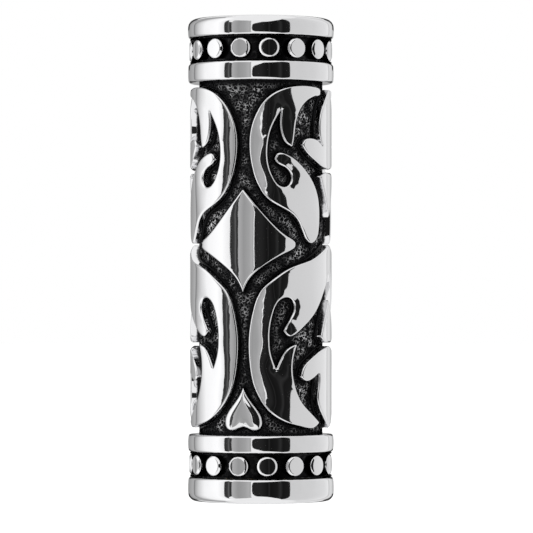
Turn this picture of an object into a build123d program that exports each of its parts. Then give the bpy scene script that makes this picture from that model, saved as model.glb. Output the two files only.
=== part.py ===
from build123d import *

import os
from math import cos, radians, sin

# Puzzle vault: a polished steel cylinder with tribal relief and two studded dials.
# Frame: millimetres, +Z up, origin at the centre of the base, front of the relief at -Y.
# A tube slides out of a slotted spine. Its two lugs pass a dial only at the dial's gate.
# Keyway and gates stand at +X when the vault is open to lift.

# Heights of the bands from the base up; a dial's height follows its studs
BASE_CAP_H = 4.9
LOWER_COLLAR_H = 3.6
RELIEF_H = 71.8
UPPER_COLLAR_H = 3.9
TOP_CAP_H = 4.0

# Bore of the vault tube and the walls around it, from inside out
TUBE_BORE_R = 7.6
TUBE_WALL = 1.6
SPINE_WALL = 1.34
SPINE_STEP = 0.3
KEYWAY_DEPTH = 1.4
GROUND_WALL = 0.65
RELIEF_DEPTH = 1.85
BAND_PROUD = 0.5
DIAL_WALL = 1.0
LIP_PROUD = 1.5
STUD_PROUD = 1.65

# Clearances
RUN = 0.06
FIT = 0.03
PIN_FIT = 0.01
FACE_GAP = 0.1
LUG_GAP = 0.15
SIDE_GAP = 0.15

# Edges of the smooth bands
CAP_ROUND = 1.7
BAND_ROUND = 0.45

# Base cap, spine flange and their screws
BASE_FLOOR = 1.4
FLANGE_H = 1.2
TUBE_LIFT = 0.2
SCREW_R = 0.8
SCREW_HEAD_R = 1.45
SCREW_SINK = 0.05
COUNTERSINK = 45
DRIVE_SLOT_L = 1.8
DRIVE_SLOT_W = 0.3
DRIVE_SLOT_H = 0.3
SCREW_ANGLES = (60, 180, 300)

# Top cap
RIM_RECESS_IN = 0.1
RIM_RECESS_H = 1.5
SEAT_GAP = 0.05
TUBE_END_WALL = 1.8
VAULT_SCREW_X = 3.6
VAULT_SCREW_BITE = 1.8

# Lugs and keyway
LUG_R = 1.0
LUG_TIP_GAP = 0.1
LUG_TAIL = 0.1
LUG_TIP_ROUND = 0.3

# Clips on the spine
CLIP_GROOVE = 0.4
CLIP_H = 0.7
CLIP_GAP_EXTRA = 0.9
STACK_CLIP_IN = 0.3
STACK_POCKET_IN = 0.1
DIAL_CLIP_IN = 0.3

# Locating pins between collars and relief sleeve
DOWEL_R = 0.6
DOWEL_H = 3.0
DOWEL_ANGLES = (90, 270)

# Running rings in the dial faces
RUNNER_IN = 0.55
RUNNER_W = 0.6
WASHER_H = 0.5
RUNNER_PROUD = 0.05

# Studs and the lips of the dial above and below them
STUD_COUNT = 15
STUD_R = 2.1
STUD_GAP = 0.1
LIP_H = 0.3
STUD_RIM = 0.35
SHANK_R = 1.0
SHANK_DEPTH = 0.75
LOWER_STUD_PHASE = -93.8
UPPER_STUD_PHASE = -92.2

# Levels worked out from the stack
DIAL_ZONE_H = 2 * (STUD_R + STUD_GAP + LIP_H + FACE_GAP)
Z_LOWER_DIAL = BASE_CAP_H
Z_LOWER_COLLAR = Z_LOWER_DIAL + DIAL_ZONE_H
Z_RELIEF = Z_LOWER_COLLAR + LOWER_COLLAR_H
Z_UPPER_COLLAR = Z_RELIEF + RELIEF_H
Z_UPPER_DIAL = Z_UPPER_COLLAR + UPPER_COLLAR_H
Z_TOP_CAP = Z_UPPER_DIAL + DIAL_ZONE_H
Z_CEILING = Z_TOP_CAP + RIM_RECESS_H
Z_SPINE_TOP = Z_CEILING - SEAT_GAP
Z_TUBE_BOTTOM = BASE_FLOOR + TUBE_LIFT
Z_LOWER_LUG = Z_LOWER_DIAL - LUG_GAP - LUG_R
Z_UPPER_LUG = Z_UPPER_DIAL - LUG_GAP - LUG_R
Z_STACK_CLIP = Z_UPPER_DIAL - FACE_GAP - CLIP_H
Z_DIAL_CLIP = Z_TOP_CAP
Z_TUBE_WALL = Z_CEILING - TUBE_END_WALL

# Radii worked out from the bore and the walls
TUBE_R = TUBE_BORE_R + TUBE_WALL
SPINE_BORE_R = TUBE_R + RUN
SPINE_R = SPINE_BORE_R + SPINE_WALL
LOWER_SPINE_R = SPINE_R + SPINE_STEP
KEYWAY_R = SPINE_R + KEYWAY_DEPTH
GROUND_R = KEYWAY_R + GROUND_WALL
RELIEF_R = GROUND_R + RELIEF_DEPTH
BAND_R = RELIEF_R + BAND_PROUD
DIAL_R = KEYWAY_R + DIAL_WALL
LIP_R = DIAL_R + LIP_PROUD
STUD_FACE_R = DIAL_R + STUD_PROUD
RIM_RECESS_R = DIAL_R - RIM_RECESS_IN
STACK_CLIP_R = KEYWAY_R - STACK_CLIP_IN
STACK_POCKET_R = KEYWAY_R - STACK_POCKET_IN
DIAL_CLIP_R = DIAL_R - DIAL_CLIP_IN
RUNNER_MID_R = DIAL_R - RUNNER_IN

KEYWAY_W = 2 * (LUG_R + SIDE_GAP)
CLIP_GAP_W = KEYWAY_W + CLIP_GAP_EXTRA
LUG_TIP_R = KEYWAY_R - LUG_TIP_GAP
RUNNER_IN_R = RUNNER_MID_R - RUNNER_W / 2
RUNNER_OUT_R = RUNNER_MID_R + RUNNER_W / 2

# Relief outlines: (degrees from the front, height above the relief's foot), one quarter turn.
# Each inner list is one smooth run, and runs meet at a corner.
DRAWN_H = 71.8
DIAMOND = [
    [(0, 49.7), (20, 43.9), (38, 40.1), (44, 39.2), (45.7, 38.5), (44, 37.9),
     (38, 37.1), (20, 34.7), (10, 32.8), (5, 31.4), (0, 29.0)],
]
DART = [
    [(0, 9.6), (3, 8.2), (9.5, 6.0), (14.6, 4.2), (16.2, 2.7), (14.4, 1.4),
     (9.4, 1.0), (4, 1.4), (0, 1.7)],
]
UPPER_LEAF = [
    [(66, 68.8), (57, 67.9), (51, 66.6), (46.5, 64.5), (44.2, 61.5), (43.3, 59.5), (42, 58.3)],
    [(42, 58.3), (37, 59.0), (32.5, 61.2), (31.5, 63.3), (32.5, 65.7)],
    [(32.5, 65.7), (24, 62.1), (20.4, 56.8), (24, 52.6), (31, 50.4), (38, 50.4),
     (42, 52.2), (35, 54.2), (29, 55.0), (26.5, 55.8)],
    [(26.5, 55.8), (29, 56.9), (38, 56.6), (50, 54.7), (60, 52.1), (69, 48.1),
     (70.8, 42.8), (67, 39.5), (62.5, 38.9), (53.5, 41.3), (40, 45.0), (22, 47.5),
     (12.5, 50.5), (6.3, 55.3), (5.8, 61.3), (12.5, 65.7), (23, 68.7), (38, 70.3),
     (54, 70.7), (67, 70.5), (72, 70.1), (73.3, 69.5), (71.5, 69.0), (66, 68.8)],
]
LOWER_LEAF = [
    [(90, 38.6), (75, 37.0), (60, 35.4), (45, 34.3), (35, 33.2), (25, 31.5),
     (14.6, 29.1), (8.4, 25.5), (5, 21.3), (4.2, 18.3), (5, 14.8), (9.6, 9.5), (14.4, 7.2),
     (23.5, 4.5), (36, 2.7), (50, 1.8), (65, 1.6), (71, 2.5)],
    [(71, 2.5), (60, 4.5), (50, 6.8), (44.5, 9.5), (42, 13.3), (43.5, 16.3), (46, 18.4)],
    [(46, 18.4), (39, 17.7), (33, 15.9), (28, 13.5)],
    [(28, 13.5), (23.5, 16.3), (22, 19.8), (24.5, 24.3), (32, 27.5), (40, 27.7),
     (44.8, 26.0), (41, 23.7), (34.5, 21.1)],
    [(34.5, 21.1), (38.5, 20.1), (50, 21.4), (65, 24.7), (78, 29.0), (90, 33.2)],
]
CROWN = [
    [(90, 70.3), (82, 68.3), (75.5, 66.2), (71.4, 62.5), (72.5, 60.5), (75.7, 58.7)],
    [(75.7, 58.7), (68, 59.8), (60, 60.1), (54, 59.8), (50.8, 58.7)],
    [(50.8, 58.7), (55, 57.4), (65, 55.7), (75, 54.6), (90, 54.0)],
]
UPPER_DAGGER = [
    [(90, 53.3), (80, 53.2), (73, 52.5)],
    [(73, 52.5), (77.5, 50.2), (85, 46.8), (90, 44.3)],
]
LOWER_DAGGER = [
    [(90, 18.8), (80, 18.9), (74.2, 19.9)],
    [(74.2, 19.9), (78.5, 22.5), (84.5, 25.0), (90, 27.3)],
]
FOOT = [
    [(90, 18.0), (75, 17.2), (60, 15.4), (52, 13.6), (49.6, 11.8)],
    [(49.6, 11.8), (55, 11.0), (62, 11.4), (70.5, 12.6)],
    [(70.5, 12.6), (71.2, 11.5), (68.8, 7.6), (72, 5.3), (80, 3.1), (90, 1.3)],
]
QUARTER_PATTERN = (
    DIAMOND, DART, UPPER_LEAF, LOWER_LEAF, CROWN, UPPER_DAGGER, LOWER_DAGGER, FOOT,
)
SAMPLES_PER_POINT = 3
RELIEF_ROOT = 0.3
CLOSED = 0.1

os.makedirs("parts", exist_ok=True)


def save(part, name):
    """Label a finished piece and write it under its own name."""
    part.label = name
    export_step(part, "parts/" + name + ".step")


def on_cylinder(degrees, height, radius):
    """Point on the relief cylinder, with degrees counted from the front (-Y) towards +X."""
    angle = radians(degrees - 90)
    return Vector(radius * cos(angle), radius * sin(angle), height)


def flat_samples(run):
    """Points along one smooth run of an outline, as (degrees, level)."""
    per_degree = radians(1) * RELIEF_R
    rise = RELIEF_H / DRAWN_H
    flat = Edge.make_spline([Vector(u * per_degree, h * rise) for u, h in run])
    count = SAMPLES_PER_POINT * len(run)
    points = [flat.position_at(i / count) for i in range(count + 1)]
    return [(point.X / per_degree, Z_RELIEF + point.Y) for point in points]


def radial_wall(samples, make_edge):
    """Ruled wall facing along the outline, from below the ground to above the relief face."""
    low = [on_cylinder(u, z, GROUND_R - 2 * RELIEF_ROOT) for u, z in samples]
    high = [on_cylinder(u, z, RELIEF_R + RELIEF_ROOT) for u, z in samples]
    return Face.make_surface_from_curves(make_edge(low), make_edge(high))


def raised_piece(runs):
    """Solid standing from just under the ground up to the relief face, with radial walls."""
    sampled = [flat_samples(run) for run in runs]
    walls = [radial_wall(samples, Edge.make_spline) for samples in sampled]
    foot, head = sampled[0][0], sampled[-1][-1]
    if abs(head[1] - foot[1]) > CLOSED:
        walls.append(radial_wall([head, foot], lambda ends: Edge.make_line(*ends)))
    with BuildPart() as band:
        with BuildSketch(Plane.XY.offset(Z_RELIEF)):
            Circle(RELIEF_R)
            Circle(GROUND_R - RELIEF_ROOT, mode=Mode.SUBTRACT)
        extrude(amount=RELIEF_H)
    pieces = band.part.solid().split(Shell(walls), Keep.ALL)
    return min(pieces, key=lambda piece: piece.volume)


def keyed_ring(outer_r, bore_r, bottom, top):
    """Flat ring with a round bore and the keyway cut from the bore at +X."""
    with BuildPart() as ring:
        with BuildSketch(Plane.XY.offset(bottom)):
            Circle(outer_r)
            Circle(bore_r, mode=Mode.SUBTRACT)
            Rectangle(KEYWAY_R, KEYWAY_W, align=(Align.MIN, Align.CENTER), mode=Mode.SUBTRACT)
        extrude(amount=top - bottom)
    return ring.part


def split_clip(outer_r, bottom):
    """Spring clip that snaps into the spine's groove, open at the keyway."""
    with BuildPart() as clip:
        with BuildSketch(Plane.XY.offset(bottom + FIT)):
            Circle(outer_r)
            Circle(SPINE_R - CLIP_GROOVE + FIT, mode=Mode.SUBTRACT)
            Rectangle(2 * outer_r, CLIP_GAP_W, align=(Align.MIN, Align.CENTER), mode=Mode.SUBTRACT)
        extrude(amount=CLIP_H - 2 * FIT)
    return clip.part


def countersunk_screw(head_plane, length):
    """Small countersunk screw, its head flush with the plane and its shank along -z of it."""
    with BuildPart() as screw:
        with BuildSketch(head_plane):
            Circle(SCREW_R)
        extrude(amount=-length)
        with BuildSketch(head_plane):
            Circle(SCREW_HEAD_R)
        extrude(amount=-(SCREW_HEAD_R - SCREW_R), taper=COUNTERSINK)
        with BuildSketch(head_plane):
            Rectangle(DRIVE_SLOT_L, DRIVE_SLOT_W)
        extrude(amount=-DRIVE_SLOT_H, mode=Mode.SUBTRACT)
    return screw.part


def base_screw_sketch(level, radius):
    """Holes for the base screws, on a circle in the spine's wall."""
    with BuildSketch(Plane.XY.offset(level)) as holes:
        for angle in SCREW_ANGLES:
            with Locations(Location((0, 0), angle)):
                with Locations((SPINE_R, 0)):
                    Circle(radius + PIN_FIT)
    return holes.sketch


# Spine: slotted tube with a flange, thicker at the foot so that the stack has a shoulder
with BuildPart() as spine_tube:
    with BuildSketch(Plane.XY.offset(BASE_FLOOR)):
        Circle(SPINE_R)
    extrude(amount=Z_SPINE_TOP - BASE_FLOOR)
    with BuildSketch(Plane.XY.offset(BASE_FLOOR)):
        Circle(LOWER_SPINE_R)
    extrude(amount=Z_LOWER_COLLAR - BASE_FLOOR)
    with BuildSketch(Plane.XY.offset(BASE_FLOOR)):
        Circle(KEYWAY_R - RUN)
    extrude(amount=FLANGE_H)
    with BuildSketch(Plane.XY.offset(BASE_FLOOR)):
        Circle(SPINE_BORE_R)
    extrude(amount=Z_SPINE_TOP, mode=Mode.SUBTRACT)
    with BuildSketch(Plane.XY.offset(Z_LOWER_LUG - LUG_R - FACE_GAP)):
        Rectangle(KEYWAY_R, KEYWAY_W, align=(Align.MIN, Align.CENTER))
    extrude(amount=Z_SPINE_TOP, mode=Mode.SUBTRACT)
    for level in (Z_STACK_CLIP, Z_DIAL_CLIP):
        with BuildSketch(Plane.XY.offset(level)):
            Circle(BAND_R)
            Circle(SPINE_R - CLIP_GROOVE, mode=Mode.SUBTRACT)
        extrude(amount=CLIP_H, mode=Mode.SUBTRACT)
    extrude(base_screw_sketch(BASE_FLOOR, SCREW_R), amount=FLANGE_H, mode=Mode.SUBTRACT)
save(spine_tube.part, "spine_tube")

# Base cap: cup that closes the foot and carries the spine's flange on its floor
with BuildPart() as base_cap:
    with BuildSketch():
        Circle(BAND_R)
    extrude(amount=BASE_CAP_H)
    fillet(base_cap.edges().group_by(Axis.Z)[0], CAP_ROUND)
    fillet(base_cap.edges().group_by(Axis.Z)[-1], BAND_ROUND)
    with BuildSketch(Plane.XY.offset(BASE_FLOOR)):
        Circle(KEYWAY_R)
    extrude(amount=BASE_CAP_H, mode=Mode.SUBTRACT)
    extrude(base_screw_sketch(0, SCREW_R), amount=BASE_FLOOR, mode=Mode.SUBTRACT)
    extrude(
        base_screw_sketch(0, SCREW_HEAD_R + SCREW_SINK),
        amount=SCREW_HEAD_R + SCREW_SINK - SCREW_R,
        taper=COUNTERSINK,
        mode=Mode.SUBTRACT,
    )
save(base_cap.part, "base_cap")

# Screws up through the base cap into the flange
base_screws = []
for angle in SCREW_ANGLES:
    centre = (SPINE_R * cos(radians(angle)), SPINE_R * sin(radians(angle)), SCREW_SINK)
    head = Plane(origin=centre, z_dir=(0, 0, -1))
    base_screws.append(countersunk_screw(head, BASE_FLOOR + FLANGE_H - SCREW_SINK - FACE_GAP))
save(Compound(children=base_screws), "base_screws")


def round_band(ring):
    """Ease the two outer edges of a smooth band."""
    for end in (0, -1):
        rim = ring.edges().group_by(Axis.Z)[end].filter_by(GeomType.CIRCLE).sort_by(SortBy.RADIUS)[-1]
        fillet(rim, BAND_ROUND)


def dowel_sketch(level, radius):
    """Circles where the locating pins stand, between the bore and the relief ground."""
    with BuildSketch(Plane.XY.offset(level)) as dowels:
        for angle in DOWEL_ANGLES:
            with Locations(Location((0, 0), angle)):
                with Locations(((SPINE_R + FIT + GROUND_R) / 2, 0)):
                    Circle(radius)
    return dowels.sketch


# Collars: smooth bands pushed over the spine against its shoulder and the sleeve
with BuildPart() as lower_collar:
    add(keyed_ring(BAND_R, SPINE_R + FIT, Z_LOWER_COLLAR, Z_RELIEF))
    round_band(lower_collar)
    holes = dowel_sketch(Z_RELIEF - DOWEL_H / 2, DOWEL_R + PIN_FIT)
    extrude(holes, amount=DOWEL_H, mode=Mode.SUBTRACT)
save(lower_collar.part, "lower_collar")

with BuildPart() as upper_collar:
    add(keyed_ring(BAND_R, SPINE_R + FIT, Z_UPPER_COLLAR, Z_UPPER_DIAL))
    round_band(upper_collar)
    holes = dowel_sketch(Z_UPPER_COLLAR - DOWEL_H / 2, DOWEL_R + PIN_FIT)
    extrude(holes, amount=DOWEL_H, mode=Mode.SUBTRACT)
    with BuildSketch(Plane.XY.offset(Z_STACK_CLIP)):
        Circle(STACK_POCKET_R)
    extrude(amount=CLIP_H + FACE_GAP, mode=Mode.SUBTRACT)
save(upper_collar.part, "upper_collar")

# Relief sleeve: cast in one, the raised pattern mirrored into all four quarters
quarter = [raised_piece(runs) for runs in QUARTER_PATTERN]
front = quarter + [piece.mirror(Plane.YZ) for piece in quarter]
pattern = front + [piece.mirror(Plane.XZ) for piece in front]
with BuildPart() as relief_sleeve:
    add(keyed_ring(GROUND_R, SPINE_R + FIT, Z_RELIEF, Z_UPPER_COLLAR))
    add(pattern)
    for level in (Z_RELIEF, Z_UPPER_COLLAR):
        holes = dowel_sketch(level - DOWEL_H / 2, DOWEL_R + PIN_FIT)
        extrude(holes, amount=DOWEL_H, mode=Mode.SUBTRACT)
save(relief_sleeve.part, "relief_sleeve")

with BuildPart() as locating_pins:
    for level in (Z_RELIEF, Z_UPPER_COLLAR):
        shanks = dowel_sketch(level - DOWEL_H / 2 + FIT, DOWEL_R)
        extrude(shanks, amount=DOWEL_H - 2 * FIT)
save(locating_pins.part, "locating_pins")

# Clips: one holds collars and sleeve on the spine, one keeps the upper dial on
save(split_clip(STACK_CLIP_R, Z_STACK_CLIP), "stack_clip")
save(split_clip(DIAL_CLIP_R, Z_DIAL_CLIP), "dial_clip")


def stud_plane(zone, phase, index):
    """Plane on the spine axis at mid-dial, facing out along one stud."""
    angle = radians(phase + index * 360 / STUD_COUNT)
    return Plane(origin=(0, 0, zone + DIAL_ZONE_H / 2), z_dir=(cos(angle), sin(angle), 0))


def dial_ring(zone, bore_r, phase):
    """Dial ring with two lips, its gate, the grooves for its two runners and the stud holes."""
    bottom = zone + FACE_GAP
    top = zone + DIAL_ZONE_H - FACE_GAP
    with BuildPart() as ring:
        add(keyed_ring(DIAL_R, bore_r, bottom, top))
        for lip in (bottom, top - LIP_H):
            with BuildSketch(Plane.XY.offset(lip)):
                Circle(LIP_R)
                Circle(DIAL_R, mode=Mode.SUBTRACT)
            extrude(amount=LIP_H)
        with BuildSketch(Plane.XY.offset(top)):
            Circle(RUNNER_OUT_R + FIT)
            Circle(RUNNER_IN_R - FIT, mode=Mode.SUBTRACT)
        extrude(amount=-(WASHER_H - FACE_GAP + RUNNER_PROUD), mode=Mode.SUBTRACT)
        with BuildSketch(Plane.XY.offset(bottom)):
            Circle(RUNNER_OUT_R + FIT)
            Circle(RUNNER_IN_R - FIT, mode=Mode.SUBTRACT)
        extrude(amount=RUNNER_W - FACE_GAP + RUNNER_PROUD, mode=Mode.SUBTRACT)
        for index in range(STUD_COUNT):
            with BuildSketch(stud_plane(zone, phase, index).offset(DIAL_R - SHANK_DEPTH)):
                Circle(SHANK_R + PIN_FIT)
            extrude(amount=BAND_R, mode=Mode.SUBTRACT)
    return ring.part


def dial_stud(zone, phase, index):
    """Round stud seated on the dial's rim: domed with it, eased at the rim, shank in its hole."""
    plane = stud_plane(zone, phase, index)
    with BuildPart() as stud:
        with BuildSketch(plane.offset(DIAL_R - SHANK_DEPTH)):
            Circle(STUD_R)
        extrude(amount=BAND_R)
        with BuildSketch(Plane.XY.offset(zone)):
            Circle(STUD_FACE_R)
            Circle(DIAL_R, mode=Mode.SUBTRACT)
        extrude(amount=DIAL_ZONE_H, mode=Mode.INTERSECT)
        outside = stud.faces().sort_by(lambda face: (face.center() - plane.origin).length)[-1]
        fillet(outside.edges(), STUD_RIM)
        with BuildSketch(plane.offset(DIAL_R - SHANK_DEPTH)):
            Circle(SHANK_R)
        extrude(amount=SHANK_DEPTH + STUD_RIM)
    return stud.part


def dial(prefix, zone, bore_r, phase):
    """One dial: ring, studs, a washer in its upper face and a drag ring in its lower face."""
    save(dial_ring(zone, bore_r, phase), prefix + "_dial_ring")
    studs = [dial_stud(zone, phase, index) for index in range(STUD_COUNT)]
    save(Compound(children=studs), prefix + "_dial_studs")
    washer_top = zone + DIAL_ZONE_H - RUNNER_PROUD
    with BuildPart() as washer:
        with BuildSketch(Plane.XY.offset(washer_top - WASHER_H)):
            Circle(RUNNER_OUT_R)
            Circle(RUNNER_IN_R, mode=Mode.SUBTRACT)
        extrude(amount=WASHER_H)
    save(washer.part, prefix + "_thrust_washer")
    with BuildPart() as drag_ring:
        with BuildSketch(Plane.XZ):
            with Locations((RUNNER_MID_R, zone + RUNNER_PROUD + RUNNER_W / 2)):
                Circle(RUNNER_W / 2)
        revolve(axis=Axis.Z)
    save(drag_ring.part, prefix + "_drag_ring")


dial("lower", Z_LOWER_DIAL, LOWER_SPINE_R + RUN, LOWER_STUD_PHASE)
dial("upper", Z_UPPER_DIAL, SPINE_R + RUN, UPPER_STUD_PHASE)

# Top cap: handle of the vault, its rim closing over the dial clip and the spine's end
with BuildPart() as top_cap:
    with BuildSketch(Plane.XY.offset(Z_TOP_CAP)):
        Circle(BAND_R)
    extrude(amount=TOP_CAP_H)
    fillet(top_cap.edges().group_by(Axis.Z)[-1], CAP_ROUND)
    fillet(top_cap.edges().group_by(Axis.Z)[0], BAND_ROUND)
    with BuildSketch(Plane.XY.offset(Z_TOP_CAP)):
        Circle(RIM_RECESS_R)
    extrude(amount=RIM_RECESS_H, mode=Mode.SUBTRACT)
    with BuildSketch(Plane.XY.offset(Z_CEILING)):
        with Locations((-VAULT_SCREW_X, 0), (VAULT_SCREW_X, 0)):
            Circle(SCREW_R + PIN_FIT)
    extrude(amount=VAULT_SCREW_BITE, mode=Mode.SUBTRACT)
save(top_cap.part, "top_cap")

# Vault tube: open at the foot, closed at the top by the wall that is screwed to the cap
with BuildPart() as vault_tube:
    with BuildSketch(Plane.XY.offset(Z_TUBE_BOTTOM)):
        Circle(TUBE_R)
    extrude(amount=Z_CEILING - Z_TUBE_BOTTOM)
    with BuildSketch(Plane.XY.offset(Z_TUBE_BOTTOM)):
        Circle(TUBE_BORE_R)
    extrude(amount=Z_TUBE_WALL - Z_TUBE_BOTTOM, mode=Mode.SUBTRACT)
    for level in (Z_LOWER_LUG, Z_UPPER_LUG):
        with BuildSketch(Plane.YZ):
            with Locations((0, level)):
                Circle(LUG_R + PIN_FIT)
        extrude(amount=BAND_R, mode=Mode.SUBTRACT)
    with BuildSketch(Plane.XY.offset(Z_TUBE_WALL)):
        with Locations((-VAULT_SCREW_X, 0), (VAULT_SCREW_X, 0)):
            Circle(SCREW_R + PIN_FIT)
    extrude(amount=TUBE_END_WALL, mode=Mode.SUBTRACT)
    with BuildSketch(Plane.XY.offset(Z_TUBE_WALL)):
        with Locations((-VAULT_SCREW_X, 0), (VAULT_SCREW_X, 0)):
            Circle(SCREW_HEAD_R + SCREW_SINK + PIN_FIT)
    extrude(amount=SCREW_HEAD_R + SCREW_SINK - SCREW_R, taper=COUNTERSINK, mode=Mode.SUBTRACT)
save(vault_tube.part, "vault_tube")

vault_screws = []
for side in (-VAULT_SCREW_X, VAULT_SCREW_X):
    head = Plane(origin=(side, 0, Z_TUBE_WALL + SCREW_SINK), z_dir=(0, 0, -1))
    vault_screws.append(
        countersunk_screw(head, TUBE_END_WALL + VAULT_SCREW_BITE - SCREW_SINK - FACE_GAP)
    )
save(Compound(children=vault_screws), "vault_screws")

# Lugs: pins through the tube wall, long enough to fill the gates
for name, level in (("lower_lug", Z_LOWER_LUG), ("upper_lug", Z_UPPER_LUG)):
    with BuildPart() as lug:
        with BuildSketch(Plane.YZ.offset(TUBE_BORE_R + LUG_TAIL)):
            with Locations((0, level)):
                Circle(LUG_R)
        extrude(amount=LUG_TIP_R - TUBE_BORE_R - LUG_TAIL)
        fillet(lug.edges().sort_by(Axis.X)[-1], LUG_TIP_ROUND)
    save(lug.part, name)
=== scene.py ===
from functools import partial
from math import cos, pi, radians, sin, tan

import bmesh
import bpy
import numpy as np
from bpy.props import FloatProperty, FloatVectorProperty, IntProperty, PointerProperty
from mathutils import Matrix, Vector, noise
from mathutils.geometry import delaunay_2d_cdt
from mathutils.kdtree import KDTree


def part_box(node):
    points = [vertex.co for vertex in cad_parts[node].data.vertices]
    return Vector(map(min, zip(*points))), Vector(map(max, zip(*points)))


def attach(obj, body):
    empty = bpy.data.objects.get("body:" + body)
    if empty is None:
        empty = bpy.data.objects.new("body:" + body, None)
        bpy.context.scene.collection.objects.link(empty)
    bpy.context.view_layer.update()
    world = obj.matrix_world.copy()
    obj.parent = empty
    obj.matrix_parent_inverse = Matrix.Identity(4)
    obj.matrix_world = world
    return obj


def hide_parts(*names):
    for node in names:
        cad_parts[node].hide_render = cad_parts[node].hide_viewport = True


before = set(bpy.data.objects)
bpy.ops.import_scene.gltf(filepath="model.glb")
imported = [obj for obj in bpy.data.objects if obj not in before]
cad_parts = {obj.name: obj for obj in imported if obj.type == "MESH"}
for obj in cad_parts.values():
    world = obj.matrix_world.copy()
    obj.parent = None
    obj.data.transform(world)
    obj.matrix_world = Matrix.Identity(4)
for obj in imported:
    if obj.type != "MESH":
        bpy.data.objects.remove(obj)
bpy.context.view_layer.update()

bl_info = {
    "name": "Puzzle Vault Finish",
    "version": (1, 0, 0),
    "blender": (4, 5, 0),
    "location": "View3D > Sidebar > Puzzle Vault",
    "description": "Builds the polished relief, bands, dials and studio of a pocket puzzle vault",
    "category": "Object",
}

MM = 0.001
SMOOTHINGS = 14        # passes that even out a relief face
SMOOTHED_FROM = 1.3    # shoulder widths from an edge where those passes begin
SHOULDER_STEPS = 6     # lines of points around a rounded shoulder
RING_SHARE = 0.985     # shoulder points nearer the edge than this share of their reach are left out
BLOCK = 2000           # points measured against an outline at one time
HOLD = 0.04 * MM       # straight length kept beyond each end of a rounded corner
CLOTH_GAP = 0.5 * MM   # a polishing cloth doesn't reach the ground this near a wall
CLOTH_FADE = 1.3 * MM  # and reaches it fully this much further out
MERGE = 1e-7           # points this near each other, in metres, become one
CORNER_STEPS = 9       # segments around a rounded corner of a turned piece
KEYWAY_EASE = 1.05     # how much wider than the keyway its opening in a bore is cut
STUD_RINGS = 8         # rings of faces across a stud's face
STUD_FACETS = 64       # faces around a stud
STUD_SOFT = 0.1 * MM   # rounding at both edges of a stud's bevel
STUD_SOFT_STEPS = 4    # segments around that rounding
BEVEL_FALL = 0.8       # how far a stud's bevel falls for each step outwards
HOLE_FACETS = 48       # faces around a screw hole
CARD_STEP = 3          # degrees between the columns of a light card
SENSOR = 36            # camera's sensor width in mm
PAPER = 0.8            # floor colour under the lamps
FLOOR_GLOW = 0.72      # floor's own level, so that it looks white
AMBIENT = 0.6          # level of the surroundings for rays that only light things

# Levels and radii read from the frame, in metres
BASE_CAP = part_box("base_cap")
LOWER_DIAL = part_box("lower_dial_ring")
LOWER_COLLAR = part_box("lower_collar")
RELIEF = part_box("relief_sleeve")
UPPER_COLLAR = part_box("upper_collar")
UPPER_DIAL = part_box("upper_dial_ring")
TOP_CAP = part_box("top_cap")
VAULT_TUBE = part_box("vault_tube")

BAND_R = LOWER_COLLAR[1].x
RELIEF_R = RELIEF[1].x
RELIEF_FOOT = RELIEF[0].z
RELIEF_H = RELIEF[1].z - RELIEF[0].z
PER_DEGREE = radians(1) * RELIEF_R
HALF_TURN = pi * RELIEF_R

# Relief outlines: (degrees from the front, height above the relief's foot in mm), one quarter turn.
# Each inner list is one smooth run, and runs meet at a corner.
DRAWN_H = 71.8
DIAMOND = [
    [(0, 49.7), (20, 43.9), (38, 40.1), (44, 39.2), (45.7, 38.5), (44, 37.9),
     (38, 37.1), (20, 34.7), (10, 32.8), (5, 31.4), (0, 29.0)],
]
DART = [
    [(0, 9.6), (3, 8.2), (9.5, 6.0), (14.6, 4.2), (16.2, 2.7), (14.4, 1.4),
     (9.4, 1.0), (4, 1.4), (0, 1.7)],
]
UPPER_LEAF = [
    [(66, 68.8), (57, 67.9), (51, 66.6), (46.5, 64.5), (44.2, 61.5), (43.3, 59.5), (42, 58.3)],
    [(42, 58.3), (37, 59.0), (32.5, 61.2), (31.5, 63.3), (32.5, 65.7)],
    [(32.5, 65.7), (24, 62.1), (20.4, 56.8), (24, 52.6), (31, 50.4), (38, 50.4),
     (42, 52.2), (35, 54.2), (29, 55.0), (26.5, 55.8)],
    [(26.5, 55.8), (29, 56.9), (38, 56.6), (50, 54.7), (60, 52.1), (69, 48.1),
     (70.8, 42.8), (67, 39.5), (62.5, 38.9), (53.5, 41.3), (40, 45.0), (22, 47.5),
     (12.5, 50.5), (6.3, 55.3), (5.8, 61.3), (12.5, 65.7), (23, 68.7), (38, 70.3),
     (54, 70.7), (67, 70.5), (72, 70.1), (73.3, 69.5), (71.5, 69.0), (66, 68.8)],
]
LOWER_LEAF = [
    [(90, 38.6), (75, 37.0), (60, 35.4), (45, 34.3), (35, 33.2), (25, 31.5),
     (14.6, 29.1), (8.4, 25.5), (5, 21.3), (4.2, 18.3), (5, 14.8), (9.6, 9.5), (14.4, 7.2),
     (23.5, 4.5), (36, 2.7), (50, 1.8), (65, 1.6), (71, 2.5)],
    [(71, 2.5), (60, 4.5), (50, 6.8), (44.5, 9.5), (42, 13.3), (43.5, 16.3), (46, 18.4)],
    [(46, 18.4), (39, 17.7), (33, 15.9), (28, 13.5)],
    [(28, 13.5), (23.5, 16.3), (22, 19.8), (24.5, 24.3), (32, 27.5), (40, 27.7),
     (44.8, 26.0), (41, 23.7), (34.5, 21.1)],
    [(34.5, 21.1), (38.5, 20.1), (50, 21.4), (65, 24.7), (78, 29.0), (90, 33.2)],
]
CROWN = [
    [(90, 70.3), (82, 68.3), (75.5, 66.2), (71.4, 62.5), (72.5, 60.5), (75.7, 58.7)],
    [(75.7, 58.7), (68, 59.8), (60, 60.1), (54, 59.8), (50.8, 58.7)],
    [(50.8, 58.7), (55, 57.4), (65, 55.7), (75, 54.6), (90, 54.0)],
]
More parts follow.
